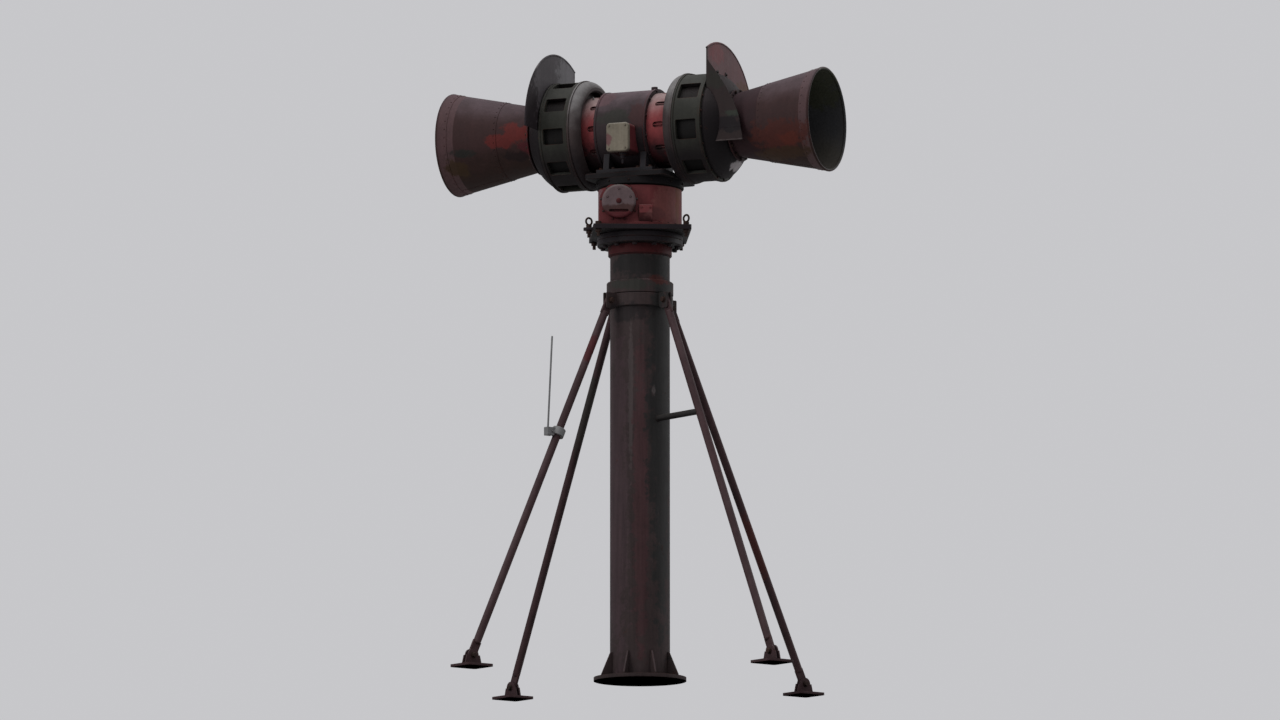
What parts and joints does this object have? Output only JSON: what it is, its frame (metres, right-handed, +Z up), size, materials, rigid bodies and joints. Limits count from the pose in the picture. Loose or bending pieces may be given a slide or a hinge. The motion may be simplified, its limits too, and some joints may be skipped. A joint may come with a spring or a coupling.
{
  "type": "rotating warning siren on a braced mast",
  "caption": "Rotating double-ended warning siren with long horns and half-round hoods, on a pipe mast braced by legs.",
  "frame": {"origin": "centre of the mast's base flange, on the deck that the feet stand on", "axes": "+Z up along the mast; the siren's shaft and horns lie along X at rest; the terminal box faces -Y"},
  "size_m": [2.2042, 2.2042, 3.4595],
  "materials": {
    "mast_paint": "dark weathered maroon-grey paint",
    "leg_paint": "dark weathered maroon paint",
    "red_paint": "faded red paint, chalky on top",
    "dark_iron": "nearly black weathered casting",
    "rusty_steel": "rusty steel",
    "bare_steel": "dull galvanised steel",
    "faded_grey": "faded pale grey paint",
    "band_paint": "faded maroon-grey paint",
    "cream_paint": "chalky off-white paint",
    "casing_paint": "dark green-grey weathered paint",
    "horn_paint": "maroon paint with rust and orange-red patches",
    "hood_paint": "faded red paint outboard, grey inboard"
  },
  "bodies": {
    "mast": {"base_flange": "mast_paint", "base_gussets": "mast_paint", "mast_pipe": "mast_paint", "mast_sleeve": "red_paint", "mast_collar": "mast_paint", "leg_clamp": "leg_paint", "leg_near_right": "leg_paint", "leg_far_right": "leg_paint", "leg_far_left": "leg_paint", "leg_near_left": "leg_paint", "foot_near_right": "leg_paint", "foot_far_right": "leg_paint", "foot_far_left": "leg_paint", "foot_near_left": "leg_paint", "leg_brace": "leg_paint", "lightning_rod": "bare_steel", "rod_clamp": "bare_steel", "head_plate": "dark_iron", "eyebolt_right": "rusty_steel", "eyebolt_left": "rusty_steel", "plate_bolt_near": "rusty_steel", "plate_bolt_right": "rusty_steel", "plate_bolt_left": "rusty_steel", "gear_drum": "red_paint", "slew_motor": "faded_grey", "filler_box": "red_paint", "slew_bearing": "dark_iron"},
    "head": {"turntable_ring": "dark_iron", "turntable_plate": "dark_iron", "motor_cradle": "dark_iron", "motor_band": "band_paint", "end_bell_left": "red_paint", "end_bell_right": "red_paint", "lifting_lug": "band_paint", "terminal_box": "red_paint", "terminal_lid": "cream_paint", "rotor_shaft_left": "rusty_steel", "rotor_left": "rusty_steel", "chopper_cover_left": "casing_paint", "chopper_casing_left": "casing_paint", "dished_face_left": "faded_grey", "horn_left": "horn_paint", "hood_left": "hood_paint", "rotor_shaft_right": "rusty_steel", "rotor_right": "rusty_steel", "chopper_cover_right": "casing_paint", "chopper_casing_right": "casing_paint", "dished_face_right": "faded_grey", "horn_right": "horn_paint", "hood_right": "hood_paint"}
  },
  "joints": [
    {"name": "head_rotation", "type": "hinge", "parent": "mast", "child": "head", "pos_m": [0, 0, 2.676], "axis": [0, 0, 1], "continuous": true}
  ]
}
